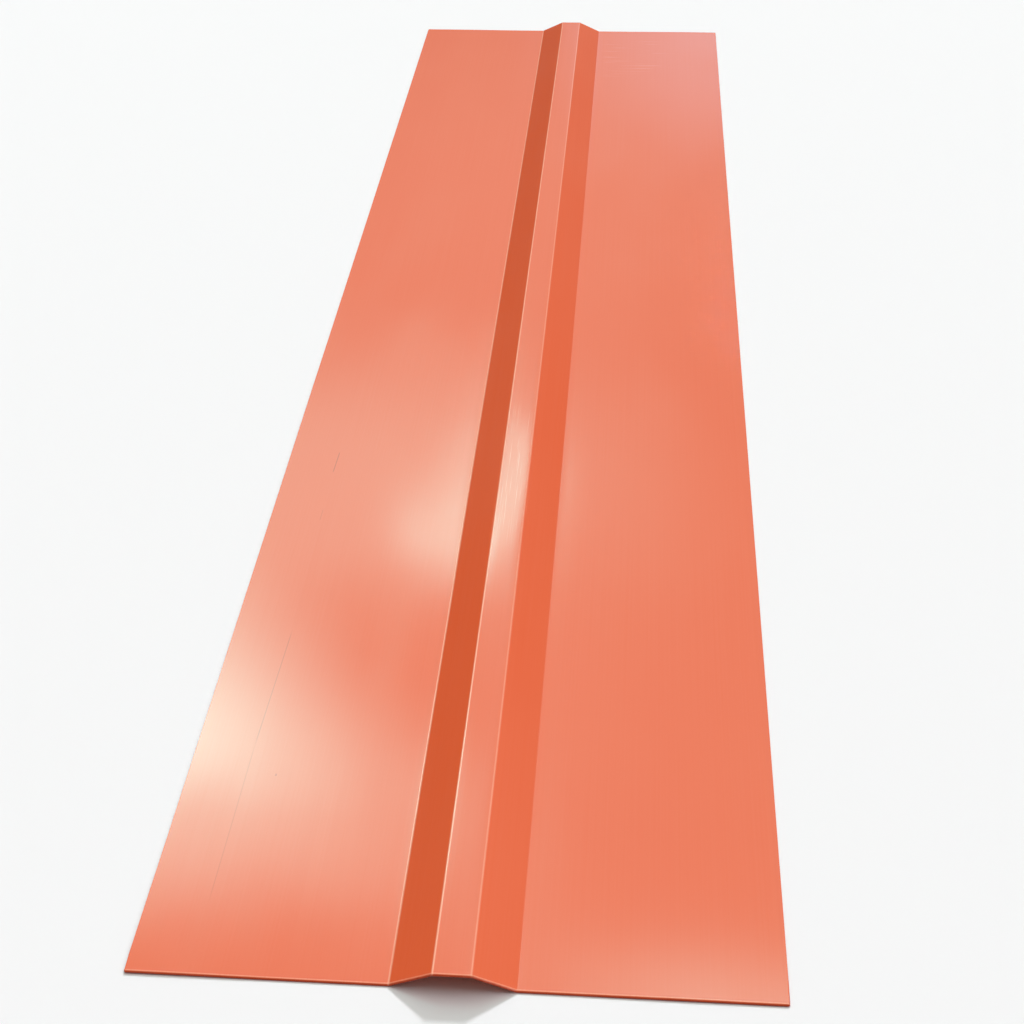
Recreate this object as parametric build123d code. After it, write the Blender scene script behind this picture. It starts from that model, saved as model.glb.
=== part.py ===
from build123d import *
import os

# Valley flashing: one strip of prepainted steel, folded along its length into two flat wings
# with a low flat-topped water rib between them. Millimetres, X across, Y along, Z up.
# The origin is on the floor, under the middle of the sheet.

# Driving dimensions
SHEET_LENGTH = 2000.0
SHEET_THICKNESS = 0.7
WING_WIDTH = 199.0  # outer edge to the fold at the rib's foot
RIB_FOOT_WIDTH = 95.0  # fold to fold where the rib meets the wings
RIB_TOP_WIDTH = 29.0  # fold to fold across the rib's flat top
RIB_HEIGHT = 15.0  # underside of the wings to underside of the rib's top
BEND_RADIUS = 2.5  # inside radius of every bend
CORNER_RADIUS = 2.5  # eased corners of the sheet, seen from above

# Sizes that follow
HALF_FOOT = RIB_FOOT_WIDTH / 2
HALF_TOP = RIB_TOP_WIDTH / 2
HALF_WIDTH = HALF_FOOT + WING_WIDTH
OUTER_BEND_RADIUS = BEND_RADIUS + SHEET_THICKNESS


def folded_section():
    """Section across the strip: its underside with rounded bends, thickened upwards."""
    underside = FilletPolyline(
        (-HALF_WIDTH, 0),
        (-HALF_FOOT, 0),
        (-HALF_TOP, RIB_HEIGHT),
        (HALF_TOP, RIB_HEIGHT),
        (HALF_FOOT, 0),
        (HALF_WIDTH, 0),
        radius=[OUTER_BEND_RADIUS, BEND_RADIUS, BEND_RADIUS, OUTER_BEND_RADIUS],
    )
    return make_face(offset(underside, amount=SHEET_THICKNESS, side=Side.LEFT))


def flashing_sheet():
    """The whole piece: the section run along Y, with its four corners eased."""
    far_end = Plane.XZ.offset(-SHEET_LENGTH / 2)
    sheet = extrude(far_end * folded_section(), amount=SHEET_LENGTH)
    corner_edges = sheet.edges().filter_by(Axis.Z)
    return fillet(corner_edges, CORNER_RADIUS)


os.makedirs("parts", exist_ok=True)
export_step(flashing_sheet(), "parts/flashing_sheet.step")
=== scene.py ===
"""Valley flashing: a long strip of coral prepainted steel with a low water rib, on a pale studio floor."""
import logging
import math
from dataclasses import dataclass
from enum import Enum
from typing import Any

import bpy
from mathutils import Matrix, Vector


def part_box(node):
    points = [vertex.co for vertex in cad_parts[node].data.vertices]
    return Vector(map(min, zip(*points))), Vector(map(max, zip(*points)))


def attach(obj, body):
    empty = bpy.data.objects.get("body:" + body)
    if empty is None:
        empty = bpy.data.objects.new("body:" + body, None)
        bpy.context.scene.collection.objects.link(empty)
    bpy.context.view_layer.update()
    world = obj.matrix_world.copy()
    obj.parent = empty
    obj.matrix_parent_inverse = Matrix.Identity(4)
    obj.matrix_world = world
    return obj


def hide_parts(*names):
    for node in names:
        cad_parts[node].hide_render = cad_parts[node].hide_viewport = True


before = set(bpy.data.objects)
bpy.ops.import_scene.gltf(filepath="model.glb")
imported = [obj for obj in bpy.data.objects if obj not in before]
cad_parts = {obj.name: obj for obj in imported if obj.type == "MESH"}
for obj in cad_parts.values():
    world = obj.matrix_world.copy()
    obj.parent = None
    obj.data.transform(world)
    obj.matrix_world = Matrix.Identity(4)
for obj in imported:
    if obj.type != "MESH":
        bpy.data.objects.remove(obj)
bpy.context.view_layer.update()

LOG = logging.getLogger("valley_flashing")

Point = tuple[float, float]
Colour = tuple[float, float, float]

MM = 0.001
SHEET_NODE = "flashing_sheet"
BODY = "root"
RIM_ATTRIBUTE = "cut_rim"

# Noise stays mostly between its low and high level, about its middle
NOISE_LOW = 0.25
NOISE_MIDDLE = 0.5
NOISE_HIGH = 0.75
NOISE_ROUGHNESS = 0.45

# Tints of the lamps: highlights come from cool ones, because the paint's red is nearly full without them
WARM: Colour = (1.0, 0.96, 0.83)
COOL: Colour = (0.30, 1.0, 0.90)
BLUE: Colour = (0.30, 0.78, 1.0)


class Wing(Enum):
    """Which side of the rib a mark or fold lies on; the value is the sign of its X."""

    LEFT = -1
    RIGHT = 1


class LampKind(Enum):
    """How a lamp throws its light; the value is the type of light it is made as."""

    DISTANT = "SUN"
    SOFTBOX = "AREA"


class Value:
    """A number that varies over a surface, held as a socket: arithmetic on it adds Math nodes."""

    def __init__(self, graph: "Graph", socket: bpy.types.NodeSocket) -> None:
        """Holds one output socket of a graph."""
        self.graph = graph
        self.socket = socket

    def math(self, operation: str, *others: "Value | float") -> "Value":
        """Adds one Math node.

        Args:
            operation: the Math node's operation.
            others: the values after this one, in the node's order.

        Returns:
            The node's result.
        """
        return self.graph.math(operation, self, *others)

    def __add__(self, other: "Value | float") -> "Value":
        """This plus other."""
        return self.math("ADD", other)

    __radd__ = __add__

    def __sub__(self, other: "Value | float") -> "Value":
        """This minus other."""
        return self.math("SUBTRACT", other)

    def __rsub__(self, other: float) -> "Value":
        """Other minus this."""
        return self.graph.math("SUBTRACT", other, self)

    def __mul__(self, other: "Value | float") -> "Value":
        """This times other."""
        return self.math("MULTIPLY", other)

    __rmul__ = __mul__

    def __truediv__(self, other: "Value | float") -> "Value":
        """This divided by other."""
        return self.math("DIVIDE", other)

    def __rtruediv__(self, other: float) -> "Value":
        """Other divided by this."""
        return self.graph.math("DIVIDE", other, self)

    def __abs__(self) -> "Value":
        """This without its sign."""
        return self.math("ABSOLUTE")

    def rise(self, low: float, high: float) -> "Value":
        """A smooth step.

        Args:
            low: where it is 0.
            high: where it is 1; below low, the step falls instead of rising.

        Returns:
            0 before the step, 1 after it, the other way round for a falling one.
        """
        falls = high < low
        step = self.graph.node(
            "ShaderNodeMapRange",
            {"interpolation_type": "SMOOTHSTEP", "clamp": True},
            {
                "Value": self,
                "From Min": high if falls else low,
                "From Max": low if falls else high,
                "To Min": 1.0 if falls else 0.0,
                "To Max": 0.0 if falls else 1.0,
            },
        )
        return Value(self.graph, step.outputs["Result"])


class Graph:
    """A node tree being built, for a material, a world, a lamp or a Geometry Nodes modifier."""

    def __init__(self, tree: bpy.types.NodeTree) -> None:
        """Takes over a tree and empties it."""
        self.tree = tree
        self.tree.nodes.clear()

    def node(
        self, kind: str, settings: dict[str, Any] | None = None, sockets: dict[str, Any] | None = None
    ) -> bpy.types.Node:
        """Adds one node.

        Args:
            kind: the node's type.
            settings: its properties, set before its sockets.
            sockets: values or links for its inputs, by name.

        Returns:
            The new node.
        """
        made = self.tree.nodes.new(kind)
        for name, value in (settings or {}).items():
            setattr(made, name, value)
        for name, value in (sockets or {}).items():
            self.feed(made.inputs[name], value)
        return made

    def feed(self, socket: bpy.types.NodeSocket, value: Any) -> None:
        """Links a socket to a Value or to another socket, or sets its number.

        Args:
            socket: the input to fill.
            value: a Value, an output socket, or a plain number, colour or vector.
        """
        if isinstance(value, Value):
            self.tree.links.new(value.socket, socket)
        elif isinstance(value, bpy.types.NodeSocket):
            self.tree.links.new(value, socket)
        else:
            socket.default_value = value

    def math(self, operation: str, *values: Value | float) -> Value:
        """Adds one Math node.

        Args:
            operation: the node's operation.
            values: its inputs, in order.

        Returns:
            Its result.
        """
        made = self.node("ShaderNodeMath", {"operation": operation})
        for socket, value in zip(made.inputs, values):
            self.feed(socket, value)
        return Value(self, made.outputs[0])

    def split(self, vector: bpy.types.NodeSocket) -> tuple[Value, Value, Value]:
        """The X, Y and Z of a vector socket."""
        parts = self.node("ShaderNodeSeparateXYZ", None, {"Vector": vector})
        return tuple(Value(self, parts.outputs[axis]) for axis in "XYZ")

    def join(self, x: Value | float, y: Value | float, z: Value | float) -> bpy.types.NodeSocket:
        """A vector socket made of three numbers."""
        return self.node("ShaderNodeCombineXYZ", None, {"X": x, "Y": y, "Z": z}).outputs[0]

    def noise(self, vector: bpy.types.NodeSocket, detail: float, seed: Value | float) -> Value:
        """Seeded noise.

        Args:
            vector: where it is read, in units of one wave.
            detail: how many finer layers are added.
            seed: the fourth coordinate, which picks the pattern.

        Returns:
            A number mostly between NOISE_LOW and NOISE_HIGH.
        """
        made = self.node(
            "ShaderNodeTexNoise",
            {"noise_dimensions": "4D"},
            {"Vector": vector, "W": seed, "Scale": 1.0, "Detail": detail, "Roughness": NOISE_ROUGHNESS},
        )
        return Value(self, made.outputs[0])

    def blend(self, amount: Value | float, first: Any, second: Any) -> bpy.types.NodeSocket:
        """A colour between two colours.

        Args:
            amount: 0 for the first, 1 for the second.
            first: a colour or a colour socket.
            second: a colour or a colour socket.

        Returns:
            The mixed colour's socket.
        """
        made = self.node("ShaderNodeMix", {"data_type": "RGBA", "clamp_factor": True})
        inputs = [socket for socket in made.inputs if socket.type == "RGBA"]
        self.feed(made.inputs[0], amount)
        for socket, colour in zip(inputs, (first, second)):
            self.feed(socket, (*colour, 1.0) if isinstance(colour, tuple) else colour)
        return next(socket for socket in made.outputs if socket.type == "RGBA")


@dataclass(frozen=True)
class HandlingMark:
    """A fine mark scratched along one wing.

    Its start and end are metres out from the middle of the rib and metres along the sheet.
    """

    wing: Wing
    start: Point
    end: Point
    width: float
    strength: float
    fade_share: float = 0.12

    def mask(self, x: Value, y: Value) -> Value:
        """Where the mark shows.

        Args:
            x: place across the sheet.
            y: place along the sheet.

        Returns:
            The mark's strength on its line, and 0 elsewhere.
        """
        (x0, y0), (x1, y1) = self.start, self.end
        lean = (x1 - x0) / (y1 - y0)
        side = self.wing.value
        line = (y - y0) * (lean * side) + x0 * side
        across = abs(x - line).rise(self.width, 0.0)
        fade = self.fade_share * abs(y1 - y0)
        low, high = min(y0, y1), max(y0, y1)
        along = y.rise(low, low + fade) * y.rise(high, high - fade)
        return across * along * self.strength


@dataclass(frozen=True)
class RubbedPatch:
    """A stretch of fine pale streaks, in metres along the sheet.

    A streak's size is given across and along. It comes in between two levels of the noise. Each end of
    the stretch fades from nothing at its first place to all at its second.
    """

    streak: Point
    levels: Point
    near_end: Point
    far_end: Point
    strength: float
    detail: float = 2.0

    def mask(self, graph: Graph, x: Value, y: Value, seed: float) -> Value:
        """Where the streaks show.

        Args:
            graph: the material's graph.
            x: place across the sheet.
            y: place along the sheet.
            seed: picks the pattern.

        Returns:
            The patch's strength on its streaks, and 0 between them and beyond its ends.
        """
        across, along = self.streak
        streaks = graph.noise(graph.join(x / across, y / along, 0.0), self.detail, seed)
        stretch = y.rise(*self.near_end) * y.rise(*self.far_end)
        return streaks.rise(*self.levels) * stretch * self.strength


@dataclass(frozen=True)
class CoralPaint:
    """Semi-gloss coil-coated paint: deep coral under a clear, slightly rolled surface.

    Lengths are in metres. Pale lines along the four folds and just behind the near edge are painted
    highlights, and the near edge's turned-down lip is drawn darker in the rim's colour as painted shade.
    The painted highlight of a pair of folds is given for the left fold, then the right.
    """

    name: str = "coral_paint"
    base: Colour = (0.715, 0.106, 0.031)
    # Pale tone: the paint's random lighter tone and rubbed streaks, and the painted highlights along the
    # folds and the near end
    pale: Colour = (0.88, 0.35, 0.225)
    dark: Colour = (0.30, 0.040, 0.015)
    # Colour of the cut rim faces; also laid over the near end's turned-down lip as painted shade
    rim: Colour = (0.42, 0.048, 0.019)
    mean_tint: float = 0.03
    smear_tint: float = 0.10
    roll_tint: float = 0.06
    refraction: float = 1.5
    gloss_roughness: float = 0.11
    smear_roughness: float = 0.06
    smear_levels: Point = (0.42, 0.75)
    rim_roughness: float = 0.45
    bump_strength: float = 0.06
    bump_height: float = 0.05 * MM
    peel_share: float = 0.7
    roll_share: float = 0.3
    mark_depth: float = 2.0
    peel_pitch: float = 2.4 * MM
    peel_detail: float = 1.0
    roll_pitch: float = 1.6 * MM
    roll_run: float = 0.35
    smear_across: float = 0.11
    smear_along: float = 0.26
    long_detail: float = 2.0
    fold_half_width: float = 1.35 * MM
    # Painted highlights along the folds and just behind the near edge, as shares of the pale tone
    foot_fold_highlight: Point = (0.95, 0.0)
    top_fold_highlight: Point = (1.0, 0.50)
    end_line_width: float = 1.0 * MM
    end_line_highlight: float = 0.60
    # Painted shade on the turned-down lip, as a share of the rim colour at the near edge
    lip_painted_shade: float = 0.60
    top_rub: RubbedPatch = RubbedPatch((1.1 * MM, 0.09), (0.56, 0.72), (-0.50, -0.42), (-0.20, -0.28), 0.50)
    top_rub_depth: Point = (1.5 * MM, 0.9 * MM)
    wing_rub: RubbedPatch = RubbedPatch((0.10, 4.0 * MM), (0.58, 0.72), (0.76, 0.84), (0.98, 0.94), 0.28)
    wing_rub_inner: Point = (0.05, 0.07)
    wing_rub_outer: Point = (0.17, 0.13)
    seed: float = 4.0

    def make(self, sheet: "FoldedSheet") -> bpy.types.Material:
        """Builds the material.

        Args:
            sheet: the piece that it goes on, for where its folds and marks are.

        Returns:
            The finished material.
        """
        material = bpy.data.materials.new(self.name)
        material.use_nodes = True
        graph = Graph(material.node_tree)
        x, y, z = graph.split(graph.node("ShaderNodeTexCoord").outputs["Object"])
        rim_face = graph.node("ShaderNodeAttribute", {"attribute_name": RIM_ATTRIBUTE})
        rim = Value(graph, rim_face.outputs["Fac"])

        peel_place = graph.join(x / self.peel_pitch, y / self.peel_pitch, z / self.peel_pitch)
        peel = graph.noise(peel_place, self.peel_detail, self.seed)
        roll_place = graph.join(x / self.roll_pitch, y / self.roll_run, 0.0)
        rolled = graph.noise(roll_place, self.long_detail, self.seed + 1)
        smear_place = graph.join(x / self.smear_across, y / self.smear_along, 0.0)
        smear = graph.noise(smear_place, self.long_detail, self.seed + 2)
        marks = sum((mark.mask(x, y) for mark in sheet.marks), start=0.0)

        tint = (smear - NOISE_MIDDLE) * self.smear_tint + (rolled - NOISE_MIDDLE) * self.roll_tint
        colour = graph.blend(tint + self.mean_tint, self.base, self.pale)
        # Painted highlights: pale lines along the folds and just behind the near edge
        colour = graph.blend(self.fold_highlights(sheet, x, y, rolled), colour, self.pale)
        colour = graph.blend(self.scuffs(graph, sheet, x, y, z), colour, self.pale)
        colour = graph.blend(marks, colour, self.dark)
        # Painted shade: the turned-down lip at the near end is drawn darker towards its edge, in the rim's
        # colour
        lip = (y + sheet.length / 2).rise(sheet.lip_run, 0.0) * self.lip_painted_shade
        colour = graph.blend(rim.math("MAXIMUM", lip), colour, self.rim)

        smeared = smear.rise(*self.smear_levels) * self.smear_roughness
        roughness = self.gloss_roughness + smeared + rim * self.rim_roughness
        height = peel * self.peel_share + rolled * self.roll_share - marks * self.mark_depth
        bump = graph.node(
            "ShaderNodeBump",
            None,
            {"Strength": self.bump_strength, "Distance": self.bump_height, "Height": height},
        )
        shader = graph.node(
            "ShaderNodeBsdfPrincipled",
            None,
            {
                "Base Color": colour,
                "Roughness": roughness,
                "Normal": bump.outputs[0],
                "IOR": self.refraction,
            },
        )
        graph.node("ShaderNodeOutputMaterial", None, {"Surface": shader.outputs[0]})
        return material

    def fold_highlights(self, sheet: "FoldedSheet", x: Value, y: Value, rolled: Value) -> Value:
        """Painted highlights: pale lines along the four folds and just behind where the near edge turns
        down.

        Args:
            sheet: the piece, for where its folds and ends are.
            x: place across the sheet.
            y: place along the sheet.
            rolled: fine lengthwise noise that breaks the line up.

        Returns:
            How much of the pale tone shows, as painted highlight.
        """
        pairs = ((sheet.rib_foot / 2, self.foot_fold_highlight), (sheet.rib_top / 2, self.top_fold_highlight))
        folds = [(side.value * half, highlight_level[k]) for half, highlight_level in pairs for k, side in enumerate(Wing)]
        lines = sum((abs(x - at).rise(self.fold_half_width, 0.0) * highlight_level for at, highlight_level in folds), start=0.0)
        inset = y + (sheet.length / 2 - sheet.lip_run)
        reach = self.end_line_width
        end = inset.rise(reach, 0.0) * inset.rise(-reach, 0.0) * self.end_line_highlight
        return (lines + end) * (rolled + NOISE_MIDDLE)

    def scuffs(self, graph: Graph, sheet: "FoldedSheet", x: Value, y: Value, z: Value) -> Value:
        """Pale rubbed streaks, lengthwise on the rib's top and crosswise at the right wing's far end.

        Args:
            graph: the material's graph.
            sheet: the piece, for its height.
            x: place across the sheet.
            y: place along the sheet.
            z: height above the floor.

        Returns:
            How much of the pale tone shows.
        """
        on_top = z.rise(*(sheet.height - depth for depth in self.top_rub_depth))
        on_wing = x.rise(*self.wing_rub_inner) * x.rise(*self.wing_rub_outer)
        lengthwise = self.top_rub.mask(graph, x, y, self.seed + 3)
        crosswise = self.wing_rub.mask(graph, x, y, self.seed + 4)
        return lengthwise * on_top + crosswise * on_wing


@dataclass
class FoldedSheet:
    """The one piece: a strip folded into two flat wings with a flat-topped rib between them.

    Lengths are in metres, and the edge angle is in degrees.
    """

    width: float
    length: float
    height: float
    thickness: float = 0.7 * MM
    rib_foot: float = 95.0 * MM
    rib_top: float = 29.0 * MM
    bend_radius: float = 2.5 * MM
    corner_radius: float = 2.5 * MM
    column_pitch: float = 8.0 * MM
    row_pitch: float = 12.0 * MM
    bend_steps: int = 6
    corner_steps: int = 6
    wave_height: float = 0.5 * MM
    wave_across: float = 0.20
    wave_along: float = 0.42
    wave_seed: float = 7.0
    near_lift: float = 0.7 * MM
    lift_run: float = 0.16
    lip_run: float = 1.85 * MM
    lip_drop: float = 0.8 * MM
    lip_rows: int = 7
    box_margin: float = 0.02 * MM
    edge_round: float = 0.12 * MM
    edge_segments: int = 2
    edge_angle: float = 60.0
    marks: tuple[HandlingMark, ...] = (
        HandlingMark(Wing.LEFT, (0.1916, -0.599), (0.1963, -0.760), 0.7 * MM, 0.42),
        HandlingMark(Wing.LEFT, (0.1962, -0.750), (0.1976, -0.933), 0.6 * MM, 0.28),
        HandlingMark(Wing.LEFT, (0.1940, -0.303), (0.1952, -0.344), 0.8 * MM, 0.60),
        HandlingMark(Wing.LEFT, (0.1947, -0.410), (0.1949, -0.430), 0.6 * MM, 0.30),
        HandlingMark(Wing.LEFT, (0.1713, -0.789), (0.1713, -0.792), 1.2 * MM, 0.40),
    )

    @classmethod
    def from_frame(cls) -> "FoldedSheet":
        """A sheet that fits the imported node's box.

        Returns:
            The sheet, narrower and shorter than the box by a small margin on each side.
        """
        low, high = (Vector(corner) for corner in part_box(SHEET_NODE))
        size = high - low
        spare = 2 * cls.box_margin
        return cls(width=size.x - spare, length=size.y - spare, height=size.z)

    @property
    def fold_angle(self) -> float:
        """How far each fold turns, in radians."""
        return math.atan2(self.height - self.thickness, (self.rib_foot - self.rib_top) / 2)

    def half_section(self) -> list[Point]:
        """Middle line of the sheet from the rib's centre to the right-hand edge, as X and Z.

        Returns:
            Points in order, with arcs at the folds and close columns at the outer corner.
        """
        turn = self.fold_angle
        radius = self.bend_radius + self.thickness / 2
        tangent = radius * math.tan(turn / 2)
        mitre = self.thickness / 2 * math.tan(turn / 2)
        top_fold = self.rib_top / 2 + mitre
        foot_fold = self.rib_foot / 2 + mitre
        crown, floor = self.height - self.thickness / 2, self.thickness / 2
        quarter = math.pi / 2
        upper_centre = (top_fold - tangent, crown - radius)
        lower_centre = (foot_fold + tangent, floor + radius)
        upper = arc(upper_centre, radius, quarter, quarter - turn, self.bend_steps)
        lower = arc(lower_centre, radius, -quarter - turn, -quarter, self.bend_steps)

        line = [(0.0, crown)]
        line += run(line[-1], upper[0], self.column_pitch) + upper[1:]
        line += run(line[-1], lower[0], self.column_pitch) + lower[1:]
        corner_start = self.width / 2 - self.corner_radius
        line += run(line[-1], (corner_start, floor), self.column_pitch)
        for step in range(1, self.corner_steps + 1):
            swing = quarter * step / self.corner_steps
            line.append((corner_start + self.corner_radius * math.sin(swing), floor))
        return line

    def section(self) -> list[Point]:
        """The whole middle line.

        Returns:
            Points from the left edge to the right edge, as X and Z.
        """
        right = self.half_section()
        left = [(-x, z) for x, z in reversed(right[1:])]
        return left + right

    def build(self, finish: CoralPaint) -> bpy.types.Object:
        """Makes the sheet's mesh and paints it.

        Args:
            finish: the paint.

        Returns:
            The finished piece, at the origin.
        """
        line = self.section()
        guide = bpy.data.meshes.new("section_line")
        guide.from_pydata([(x, 0.0, z) for x, z in line], [], [])
        piece = put("folded_sheet", guide)

        rule = SheetRule(bpy.data.node_groups.new("folded_sheet_rule", "GeometryNodeTree"))
        modifier = piece.modifiers.new("fold", "NODES")
        modifier.node_group = rule.tree
        rule.set_inputs(modifier, self, len(line), finish.make(self))
        rounding = piece.modifiers.new("eased_edges", "BEVEL")
        rounding.width = self.edge_round
        rounding.segments = self.edge_segments
        rounding.limit_method = "ANGLE"
        rounding.angle_limit = math.radians(self.edge_angle)

        evaluated = piece.evaluated_get(bpy.context.evaluated_depsgraph_get())
        finished = bpy.data.meshes.new_from_object(evaluated)
        piece.modifiers.clear()
        piece.data = finished
        finished.name = "folded_sheet"
        return piece

    def dress(self, piece: bpy.types.Object) -> None:
        """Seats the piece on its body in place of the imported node.

        Args:
            piece: the finished piece.
        """
        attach(piece, BODY)
        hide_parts(SHEET_NODE)


class SheetRule:
    """The Geometry Nodes tree that runs a section line along Y as a sheet of even thickness."""

    COUNTS = ("Columns", "Rows", "Lip Rows")
    SIZES = (
        "Half Width", "Half Length", "Corner Radius", "Thickness", "Rib Half Width", "Top Half Width",
        "Wave Height", "Wave Across", "Wave Along", "Wave Seed", "Near Lift", "Lift Run",
        "Lip Run", "Lip Drop",
    )
    GRID_SPAN = 2.0
    WAVE_DETAIL = 0.0
    WAVE_EDGE = (50.0 * MM, 150.0 * MM)
    MERGE_DISTANCE = 0.01 * MM
    CRISP_ANGLE = math.radians(50)

    def __init__(self, tree: bpy.types.GeometryNodeTree) -> None:
        """Args:
            tree: the empty tree.
        """
        self.tree = tree
        self.sockets: dict[str, str] = {}
        self.graph = Graph(tree)
        self.tree.interface.new_socket("Geometry", in_out="OUTPUT", socket_type="NodeSocketGeometry")
        self.declare("Section", "NodeSocketGeometry")
        for name in self.COUNTS:
            self.declare(name, "NodeSocketInt")
        for name in self.SIZES:
            self.declare(name, "NodeSocketFloat")
        self.declare("Paint", "NodeSocketMaterial")
        self.build()

    def declare(self, name: str, kind: str) -> None:
        """Adds one named input and keeps its identifier."""
        made = self.tree.interface.new_socket(name, in_out="INPUT", socket_type=kind)
        self.sockets[name] = made.identifier

    def set_inputs(
        self, modifier: bpy.types.NodesModifier, sheet: FoldedSheet, columns: int, paint: bpy.types.Material
    ) -> None:
        """Fills the modifier's inputs from the sheet.

        Args:
            modifier: the modifier that runs this tree.
            sheet: the sizes.
            columns: how many points the section line has.
            paint: the material.
        """
        values = {
            "Columns": columns,
            "Rows": round(sheet.length / sheet.row_pitch) + 1 + sheet.lip_rows,
            "Lip Rows": sheet.lip_rows,
            "Half Width": sheet.width / 2,
            "Half Length": sheet.length / 2,
            "Corner Radius": sheet.corner_radius,
            "Thickness": sheet.thickness,
            "Rib Half Width": sheet.rib_foot / 2,
            "Top Half Width": sheet.rib_top / 2,
            "Wave Height": sheet.wave_height,
            "Wave Across": sheet.wave_across,
            "Wave Along": sheet.wave_along,
            "Wave Seed": sheet.wave_seed,
            "Near Lift": sheet.near_lift,
            "Lift Run": sheet.lift_run,
            "Lip Run": sheet.lip_run,
            "Lip Drop": sheet.lip_drop,
            "Paint": paint,
        }
        for name, value in values.items():
            modifier[self.sockets[name]] = value

    def build(self) -> None:
        """Adds the nodes: a grid laid on the section, its thickness, crisp edges and paint."""
        graph = self.graph
        given = graph.node("NodeGroupInput").outputs
        size = {name: Value(graph, given[name]) for name in self.COUNTS + self.SIZES}
        shell = self.thicken(size, self.lay(size, given["Section"]))
        real = graph.node("GeometryNodeRealizeInstances", None, {"Geometry": self.shade(shell)})
        painted = graph.node(
            "GeometryNodeSetMaterial", None, {"Geometry": real.outputs[0], "Material": given["Paint"]}
        )
        graph.node("NodeGroupOutput", None, {"Geometry": painted.outputs[0]})

    def lay(self, size: dict[str, Value], section: bpy.types.NodeSocket) -> bpy.types.NodeSocket:
        """Lays a grid on the section line, with a column at each of its points.

        Args:
            size: the tree's inputs.
            section: the section line.

        Returns:
            The sheet's middle surface.
        """
        graph = self.graph
        grid = graph.node(
            "GeometryNodeMeshGrid",
            None,
            {
                "Size X": self.GRID_SPAN,
                "Size Y": self.GRID_SPAN,
                "Vertices X": size["Columns"],
                "Vertices Y": size["Rows"],
            },
        )
        place = graph.node("GeometryNodeInputPosition").outputs[0]
        index = Value(graph, graph.node("GeometryNodeInputIndex").outputs[0])
        column = (index / size["Rows"]).math("FLOOR")
        row = index - column * size["Rows"]
        sample = graph.node(
            "GeometryNodeSampleIndex",
            {"data_type": "FLOAT_VECTOR", "domain": "POINT"},
            {"Geometry": section, "Value": place, "Index": column},
        )
        x, _, z = graph.split(sample.outputs[0])
        y = self.place_along(size, x, row)
        rise = self.waves(size, x, y) + self.lift(size, x, y) - self.lip(size, row)
        seat = graph.node(
            "GeometryNodeSetPosition",
            None,
            {"Geometry": grid.outputs[0], "Position": graph.join(x, y, z + rise)},
        )
        return seat.outputs[0]

    def thicken(self, size: dict[str, Value], middle: bpy.types.NodeSocket) -> bpy.types.NodeSocket:
        """Gives a surface the sheet's thickness, half of it on each side.

        Args:
            size: the tree's inputs.
            middle: the sheet's middle surface.

        Returns:
            The closed sheet, with its cut faces marked by an attribute.
        """
        graph = self.graph
        normal = graph.node("GeometryNodeInputNormal").outputs[0]
        sink = graph.node(
            "ShaderNodeVectorMath",
            {"operation": "SCALE"},
            {"Vector": normal, "Scale": size["Thickness"] * -0.5},
        )
        under = graph.node(
            "GeometryNodeSetPosition", None, {"Geometry": middle, "Offset": sink.outputs[0]}
        )
        upper = graph.node(
            "GeometryNodeExtrudeMesh",
            {"mode": "FACES"},
            {"Mesh": under.outputs[0], "Offset Scale": size["Thickness"], "Individual": False},
        )
        marked = graph.node(
            "GeometryNodeStoreNamedAttribute",
            {"data_type": "FLOAT", "domain": "FACE"},
            {"Geometry": upper.outputs["Mesh"], "Name": RIM_ATTRIBUTE, "Value": upper.outputs["Side"]},
        )
        lower = graph.node("GeometryNodeFlipFaces", None, {"Mesh": under.outputs[0]})
        both = graph.node("GeometryNodeJoinGeometry")
        for part in (marked, lower):
            graph.feed(both.inputs[0], part.outputs[0])
        trimmed = graph.node(
            "GeometryNodeSetPosition", None, {"Geometry": both.outputs[0], "Position": self.trim(size)}
        )
        closed = graph.node(
            "GeometryNodeMergeByDistance",
            None,
            {"Geometry": trimmed.outputs[0], "Distance": self.MERGE_DISTANCE},
        )
        return closed.outputs[0]

    def shade(self, shell: bpy.types.NodeSocket) -> bpy.types.NodeSocket:
        """Shades the faces smooth and the cut edges crisp.

        Args:
            shell: the closed sheet.

        Returns:
            The shaded sheet.
        """
        graph = self.graph
        smooth = graph.node("GeometryNodeSetShadeSmooth", {"domain": "FACE"}, {"Geometry": shell})
        angle = Value(graph, graph.node("GeometryNodeInputMeshEdgeAngle").outputs[0])
        crisp = graph.node(
            "GeometryNodeSetShadeSmooth",
            {"domain": "EDGE"},
            {
                "Geometry": smooth.outputs[0],
                "Selection": angle.math("GREATER_THAN", self.CRISP_ANGLE),
                "Shade Smooth": False,
            },
        )
        return crisp.outputs[0]

    def trim(self, size: dict[str, Value]) -> bpy.types.NodeSocket:
        """Holds each point within the sheet's width and length and on or above the floor.

        Args:
            size: the tree's inputs.

        Returns:
            The point's place, moved by a fraction of the gauge where the lip turns a corner outwards.
        """
        x, y, z = self.graph.split(self.graph.node("GeometryNodeInputPosition").outputs[0])
        width, length = size["Half Width"], size["Half Length"]
        return self.graph.join(
            x.math("MINIMUM", width).math("MAXIMUM", width * -1.0),
            y.math("MINIMUM", length).math("MAXIMUM", length * -1.0),
            z.math("MAXIMUM", 0.0),
        )

    def half_length(self, size: dict[str, Value], x: Value) -> Value:
        """Half the sheet's length at one column, shorter round the eased corners.

        Args:
            size: the tree's inputs.
            x: place across the sheet.

        Returns:
            The column's half length.
        """
        radius = size["Corner Radius"]
        past = (abs(x) - (size["Half Width"] - radius)).math("MAXIMUM", 0.0).math("MINIMUM", radius)
        reach = (radius * radius - past * past).math("MAXIMUM", 0.0).math("SQRT")
        return size["Half Length"] - radius + reach

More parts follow.
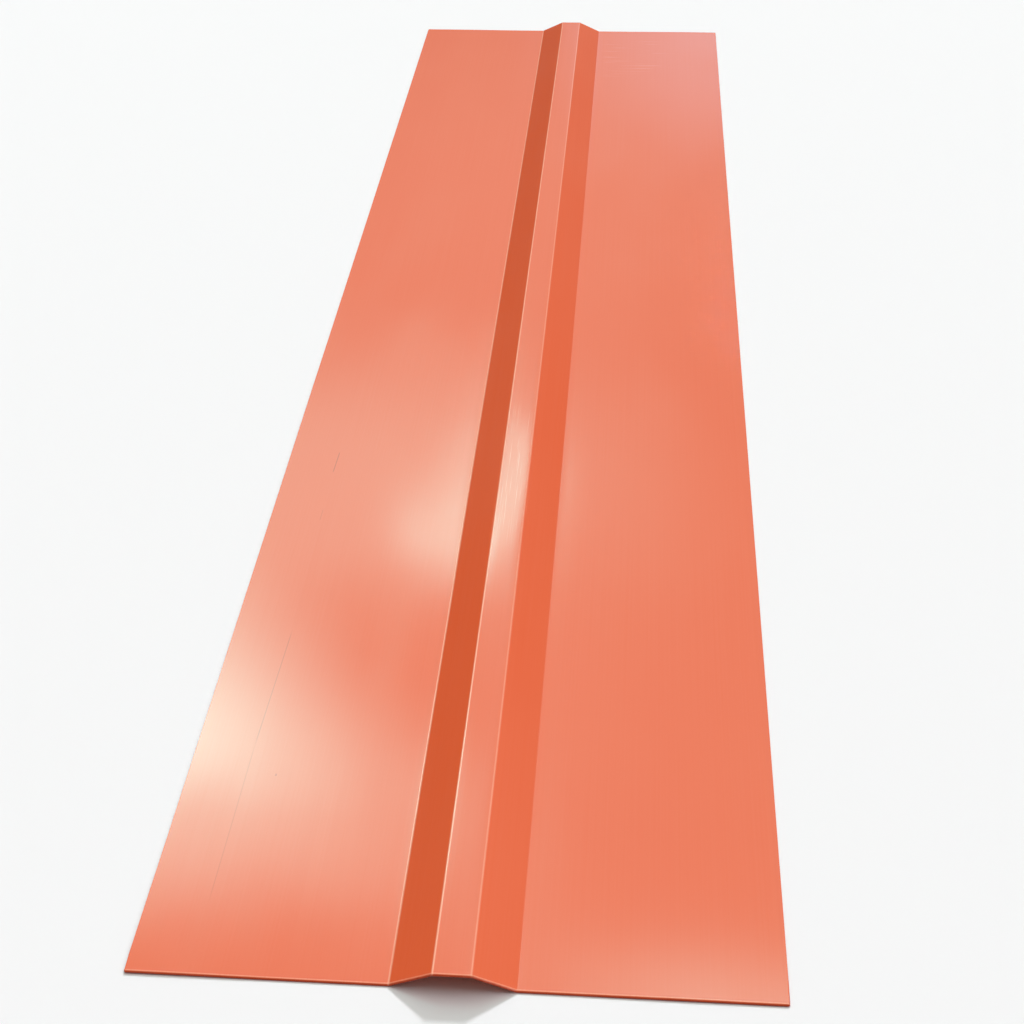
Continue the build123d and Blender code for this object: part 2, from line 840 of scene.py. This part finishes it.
    def place_along(self, size: dict[str, Value], x: Value, row: Value) -> Value:
        """Where a row lies along the sheet: close rows in the near edge's lip, even ones after it.

        Args:
            size: the tree's inputs.
            x: place across the sheet.
            row: the row's number, from the near end.

        Returns:
            The row's place along the sheet.
        """
        half, lip_rows = self.half_length(size, x), size["Lip Rows"]
        in_lip = (row / lip_rows).math("MINIMUM", 1.0)
        past_lip = ((row - lip_rows) / (size["Rows"] - 1.0 - lip_rows)).math("MAXIMUM", 0.0)
        return in_lip * size["Lip Run"] + past_lip * (half * 2.0 - size["Lip Run"]) - half

    def lip(self, size: dict[str, Value], row: Value) -> Value:
        """How far a row of the near edge's lip is turned down.

        Args:
            size: the tree's inputs.
            row: the row's number, from the near end.

        Returns:
            The drop, all of it at the near end and none at the lip's last two rows.
        """
        left = (1.0 - row / (size["Lip Rows"] - 1.0)).math("MAXIMUM", 0.0)
        return left * left * size["Lip Drop"]

    def waves(self, size: dict[str, Value], x: Value, y: Value) -> Value:
        """How far the wings lift off the floor in long shallow waves, as thin sheet does.

        Args:
            size: the tree's inputs.
            x: place across the sheet.
            y: place along the sheet.

        Returns:
            The lift, none at the rib.
        """
        out = (abs(x) - size["Rib Half Width"]).rise(*self.WAVE_EDGE)
        spot = self.graph.join(x / size["Wave Across"], y / size["Wave Along"], 0.0)
        swell = self.graph.noise(spot, self.WAVE_DETAIL, size["Wave Seed"]).rise(NOISE_LOW, NOISE_HIGH)
        return swell * out * size["Wave Height"]

    def lift(self, size: dict[str, Value], x: Value, y: Value) -> Value:
        """How far the near end curls up off the floor, under the height of the rib's top.

        Args:
            size: the tree's inputs.
            x: place across the sheet.
            y: place along the sheet.

        Returns:
            The lift, all of it at the near end of the wings and none on the rib's top.
        """
        along = ((size["Lift Run"] - size["Half Length"] - y) / size["Lift Run"]).rise(0.0, 1.0)
        top, foot = size["Top Half Width"], size["Rib Half Width"]
        across = ((abs(x) - top) / (foot - top)).rise(0.0, 1.0)
        return along * across * size["Near Lift"]


def run(start: Point, end: Point, pitch: float) -> list[Point]:
    """Even points on a straight run.

    Args:
        start: where it starts; left out of the result.
        end: where it ends; kept.
        pitch: the widest spacing.

    Returns:
        The points after start, up to end.
    """
    steps = max(1, math.ceil(math.dist(start, end) / pitch))
    return [
        (start[0] + (end[0] - start[0]) * k / steps, start[1] + (end[1] - start[1]) * k / steps)
        for k in range(1, steps + 1)
    ]


def arc(centre: Point, radius: float, first: float, last: float, steps: int) -> list[Point]:
    """Even points on an arc.

    Args:
        centre: its centre.
        radius: its radius.
        first: the angle that it starts at, in radians.
        last: the angle that it ends at.
        steps: how many chords.

    Returns:
        The points, both ends included.
    """
    angles = [first + (last - first) * k / steps for k in range(steps + 1)]
    return [(centre[0] + radius * math.cos(a), centre[1] + radius * math.sin(a)) for a in angles]


def heading(azimuth: float, elevation: float) -> Vector:
    """Unit vector towards a direction, in degrees: azimuth from +Y towards +X, elevation from level."""
    a, e = math.radians(azimuth), math.radians(elevation)
    return Vector((math.sin(a) * math.cos(e), math.cos(a) * math.cos(e), math.sin(e)))


def put(name: str, data: bpy.types.ID) -> bpy.types.Object:
    """Puts a mesh, light or camera into the scene.

    Args:
        name: the object's name.
        data: what it holds.

    Returns:
        The new object, at the origin.
    """
    made = bpy.data.objects.new(name, data)
    bpy.context.scene.collection.objects.link(made)
    return made


def matt(name: str, colour: Colour) -> bpy.types.Material:
    """A plain matt material for the studio.

    Args:
        name: its name.
        colour: its one colour.

    Returns:
        The material.
    """
    material = bpy.data.materials.new(name)
    material.use_nodes = True
    graph = Graph(material.node_tree)
    skin = graph.node("ShaderNodeBsdfDiffuse", None, {"Color": (*colour, 1.0)})
    graph.node("ShaderNodeOutputMaterial", None, {"Surface": skin.outputs[0]})
    return material


@dataclass(frozen=True)
class Lamp:
    """One lamp, placed by the direction it stands in as seen from a spot on the sheet.

    A softbox's strength is how bright it looks, and its spread is its half width and half height as
    angles, out to where its light ends. A positive turn lifts its left end. A distant lamp is white. Its
    strength is the light that it puts on the floor, as a share of full light, and the first number of
    its spread is its disc's angle. Angles are in degrees, and lengths in metres.
    """

    name: str
    azimuth: float
    elevation: float
    strength: float
    spread: Point
    spot: Point = (0.0, 0.0)
    tint: Colour = WARM
    turn: float = 0.0
    mirrored: bool = True
    kind: LampKind = LampKind.SOFTBOX
    distance: float = 30.0

    def hang(self) -> bpy.types.Object:
        """Makes the lamp and turns it to its spot.

        Returns:
            The light object.
        """
        data = bpy.data.lights.new(self.name, self.kind.value)
        towards = heading(self.azimuth, self.elevation)
        if self.kind is LampKind.DISTANT:
            data.energy = self.strength * math.pi / towards.z
            data.angle = math.radians(self.spread[0])
        else:
            width, height = (2 * self.distance * math.tan(math.radians(half)) for half in self.spread)
            data.shape = "ELLIPSE"
            data.size, data.size_y = width, height
            data.energy = self.strength * math.pi * (math.pi / 4 * width * height)
            data.color = self.tint
            self.soften(data)
        lamp = put(self.name, data)
        lamp.visible_glossy = self.mirrored
        facing = towards.to_track_quat("Z", "Y").to_matrix()
        turned = facing @ Matrix.Rotation(math.radians(self.turn), 3, "Z")
        place = Vector((*self.spot, 0.0)) + towards * self.distance
        lamp.matrix_world = Matrix.Translation(place) @ turned.to_4x4()
        return lamp

    def soften(self, data: bpy.types.Light) -> None:
        """Makes a softbox brightest in its middle, falling smoothly to nothing at its edge.

        Args:
            data: the softbox's light.
        """
        data.use_nodes = True
        graph = Graph(data.node_tree)
        u, v, _ = graph.split(graph.node("ShaderNodeNewGeometry").outputs["Parametric"])
        middle = 0.5
        reach = ((u - middle) * (u - middle) + (v - middle) * (v - middle)).math("SQRT") / middle
        glow = graph.node("ShaderNodeEmission", None, {"Strength": reach.rise(1.0, 0.0)})
        graph.node("ShaderNodeOutputLight", None, {"Surface": glow.outputs[0]})


@dataclass(frozen=True)
class DarkCard:
    """A dark card left of the far end, seen only in the paint: it keeps the rib's left side deep in tone.

    Each corner is a direction, as azimuth and elevation in degrees. The distance is in metres.
    """

    corners: tuple[Point, ...] = ((-11.0, 2.0), (-11.0, 9.0), (-46.0, 38.0), (-75.0, 25.0))
    distance: float = 15.0
    tone: Colour = (0.14, 0.14, 0.14)

    def hang(self) -> bpy.types.Object:
        """Makes the card from the directions of its corners.

        Returns:
            The card object.
        """
        mesh = bpy.data.meshes.new("dark_card")
        places = [heading(*corner) * self.distance for corner in self.corners]
        mesh.from_pydata(places, [], [tuple(range(len(places)))])
        mesh.materials.append(matt("dark_felt", self.tone))
        card = put("dark_card", mesh)
        card.visible_camera = card.visible_diffuse = card.visible_shadow = False
        return card


@dataclass(frozen=True)
class Viewpoint:
    """The camera: place and reach in metres, angles in degrees, lens and sensor in millimetres."""

    place: tuple[float, float, float] = (0.1139, -1.7601, 0.9934)
    yaw: float = 4.779
    pitch: float = 36.106
    roll: float = 1.026
    lens: float = 57.60
    sensor: float = 36.0
    reach: float = 200.0

    def stand(self) -> bpy.types.Object:
        """Makes the camera and gives it to the scene.

        Returns:
            The camera object.
        """
        data = bpy.data.cameras.new("viewpoint")
        data.lens = self.lens
        data.sensor_width = self.sensor
        data.clip_end = self.reach
        camera = put("viewpoint", data)
        forward = heading(-self.yaw, -self.pitch)
        level = Vector((math.cos(math.radians(self.yaw)), math.sin(math.radians(self.yaw)), 0.0))
        down = forward.cross(level)
        tilt = math.radians(self.roll)
        right = level * math.cos(tilt) + down * math.sin(tilt)
        up = right.cross(forward)
        facing = Matrix((right, up, -forward)).transposed()
        camera.matrix_world = Matrix.Translation(self.place) @ facing.to_4x4()
        bpy.context.scene.camera = camera
        return camera


@dataclass(frozen=True)
class Studio:
    """Pale floor, soft surrounding light and lamps that stand mostly behind the far end.

    The surround changes to the front's colour between two values of a direction's Y, and to the horizon's
    between two of its Z.
    """

    floor_size: float = 60.0
    floor_gap: float = 0.02 * MM
    floor_colour: Colour = (0.848, 0.860, 0.912)
    surround: Colour = (1.0, 0.85, 0.77)
    surround_strength: float = 0.40
    front: Colour = (1.0, 0.55, 0.45)
    front_share: float = 0.45
    front_limits: Point = (-0.7, 0.0)
    horizon: Colour = (0.93, 0.93, 0.93)
    horizon_limits: Point = (0.16, 0.04)
    card: DarkCard = DarkCard()
    lamps: tuple[Lamp, ...] = (
        Lamp("back_key", 5.4, 27.5, 0.385, (5.0, 5.0), mirrored=False, kind=LampKind.DISTANT),
        Lamp("side_fill", 80.0, 40.0, 0.14, (30.0, 30.0), kind=LampKind.DISTANT),
        Lamp("back_softbox", -7.0, 50.0, 1.9, (40.0, 34.0), (0.0, -0.6)),
        Lamp("low_softbox", -3.0, 24.0, 0.50, (20.0, 12.0), (0.0, 0.5)),
        Lamp("right_glow", 3.5, 19.5, 1.3, (9.0, 6.0), (0.15, 0.80), BLUE),
        Lamp("right_side", 40.0, 34.0, 0.5, (16.0, 11.0), (0.05, -0.80)),
        Lamp("left_highlight", -21.8, 41.65, 9.4, (9.0, 6.8), (-0.23, -0.72), COOL),
        Lamp("left_band", -17.6, 44.25, 5.8, (13.0, 4.5), (-0.15, -0.79), COOL, -24.0),
        Lamp("middle_highlight", -7.1, 36.8, 11.5, (3.4, 1.9), (-0.06, -0.43), COOL),
        Lamp("top_highlight", -4.9, 34.9, 23.5, (2.4, 1.3), (0.0, -0.36), COOL),
        Lamp("top_band", -4.8, 40.5, 0.6, (2.5, 3.5), (0.0, -0.55), COOL),
        Lamp("right_band", 0.0, 35.6, 0.65, (4.5, 5.5), (0.08, -0.40), COOL),
        Lamp("middle_band", -14.0, 34.2, 2.2, (14.0, 6.5), (-0.15, -0.38), COOL),
        Lamp("middle_streak", -11.9, 37.4, 1.4, (5.0, 1.8), (-0.10, -0.42), COOL),
        Lamp("near_glow", 8.0, 52.8, 4.8, (12.0, 3.8), (0.15, -0.97), COOL),
    )

    def build(self) -> None:
        """Sets the colour handling and the surrounding light, lays the floor and hangs the lamps."""
        bpy.context.scene.view_settings.view_transform = "Standard"
        bpy.context.scene.world = self.light_surround()
        self.lay_floor()
        self.card.hang()
        for lamp in self.lamps:
            lamp.hang()

    def light_surround(self) -> bpy.types.World:
        """Makes the surrounding light.

        Returns:
            The world, pale at the horizon and dimmer and warmer in front of the near end.
        """
        world = bpy.data.worlds.new("soft_surround")
        world.use_nodes = True
        graph = Graph(world.node_tree)
        _, ahead, up = graph.split(graph.node("ShaderNodeTexCoord").outputs["Object"])
        back = ahead.rise(*self.front_limits)
        share = back * (1.0 - self.front_share) + self.front_share
        haze = up.rise(*self.horizon_limits)
        glow = graph.node(
            "ShaderNodeBackground",
            None,
            {
                "Color": graph.blend(haze, graph.blend(back, self.front, self.surround), self.horizon),
                "Strength": share * self.surround_strength * (1.0 - haze) + haze,
            },
        )
        graph.node("ShaderNodeOutputWorld", None, {"Surface": glow.outputs[0]})
        return world

    def lay_floor(self) -> bpy.types.Object:
        """Makes the floor.

        Returns:
            The floor object, a hair below the underside of the sheet.
        """
        half = self.floor_size / 2
        corners = [(-half, -half, 0.0), (half, -half, 0.0), (half, half, 0.0), (-half, half, 0.0)]
        mesh = bpy.data.meshes.new("floor")
        mesh.from_pydata(corners, [], [tuple(range(len(corners)))])
        mesh.materials.append(matt("pale_floor", self.floor_colour))
        floor = put("floor", mesh)
        floor.location.z = -self.floor_gap
        return floor


def main() -> None:
    """Builds the sheet, the studio and the camera, in that order."""
    logging.basicConfig(level=logging.INFO)
    sheet = FoldedSheet.from_frame()
    piece = sheet.build(CoralPaint())
    sheet.dress(piece)
    LOG.info("%s: %d faces, %.3f m long", piece.name, len(piece.data.polygons), sheet.length)
    Studio().build()
    Viewpoint().stand()


if __name__ == "__main__":
    main()
